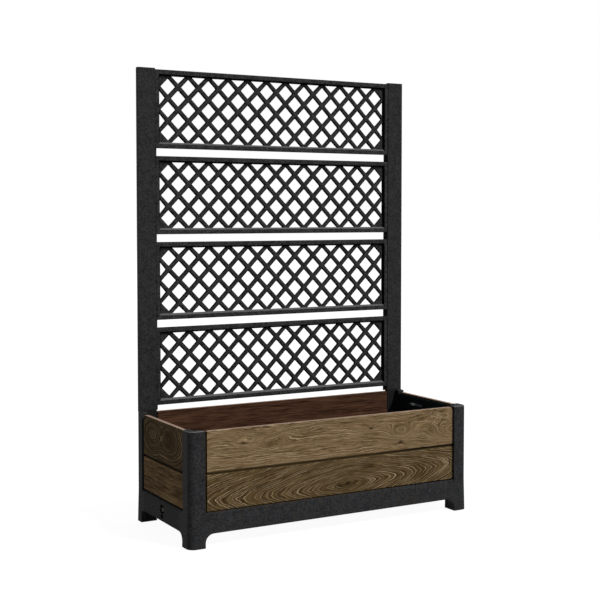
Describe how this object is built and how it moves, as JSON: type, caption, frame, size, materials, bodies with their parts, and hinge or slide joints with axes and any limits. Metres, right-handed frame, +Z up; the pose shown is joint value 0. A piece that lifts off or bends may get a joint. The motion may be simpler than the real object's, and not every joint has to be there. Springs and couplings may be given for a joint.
{
  "type": "planter",
  "caption": "Free-standing planting box with wood-grain board walls, charcoal corner posts and skirt, and a tall lattice screen along its back for climbing plants",
  "frame": {"origin": "on the floor, under the middle of the planting box", "axes": "+Z up along the trellis, -Y towards the open front, +X to the right of someone facing the front"},
  "size_m": [1.106, 0.446, 1.582],
  "materials": {
    "charcoal_plastic": "hammered",
    "trellis_plastic": "fine grained",
    "inner_plastic": "fine grained",
    "wood_grain_board": "embossed wood grain",
    "bright_metal": "plain",
    "seal_rubber": "plain"
  },
  "bodies": {
    "planter": {"corner_post_front_left": "charcoal_plastic", "corner_post_front_right": "charcoal_plastic", "corner_post_rear_left": "charcoal_plastic", "corner_post_rear_right": "charcoal_plastic", "skirt_front": "charcoal_plastic", "skirt_rear": "charcoal_plastic", "skirt_left": "charcoal_plastic", "skirt_right": "charcoal_plastic", "board_front_upper": "wood_grain_board", "board_front_lower": "wood_grain_board", "board_rear_upper": "wood_grain_board", "board_rear_lower": "wood_grain_board", "board_left_upper": "wood_grain_board", "board_left_lower": "wood_grain_board", "board_right_upper": "wood_grain_board", "board_right_lower": "wood_grain_board", "trellis_post_left": "trellis_plastic", "trellis_post_right": "trellis_plastic", "lattice_panel_1": "trellis_plastic", "lattice_panel_2": "trellis_plastic", "lattice_panel_3": "trellis_plastic", "lattice_panel_4": "trellis_plastic", "end_panel_left": "inner_plastic", "end_panel_right": "inner_plastic", "floor_panel": "inner_plastic", "end_panel_catches": "bright_metal", "trellis_screws": "bright_metal", "drain_spout": "charcoal_plastic"},
    "plug": {"drain_plug": "charcoal_plastic", "plug_seal": "seal_rubber"}
  },
  "joints": [
    {"name": "drain_plug_pull", "type": "slide", "parent": "planter", "child": "plug", "axis": [-1, 0, 0], "range_m": [0, 0.022]}
  ]
}
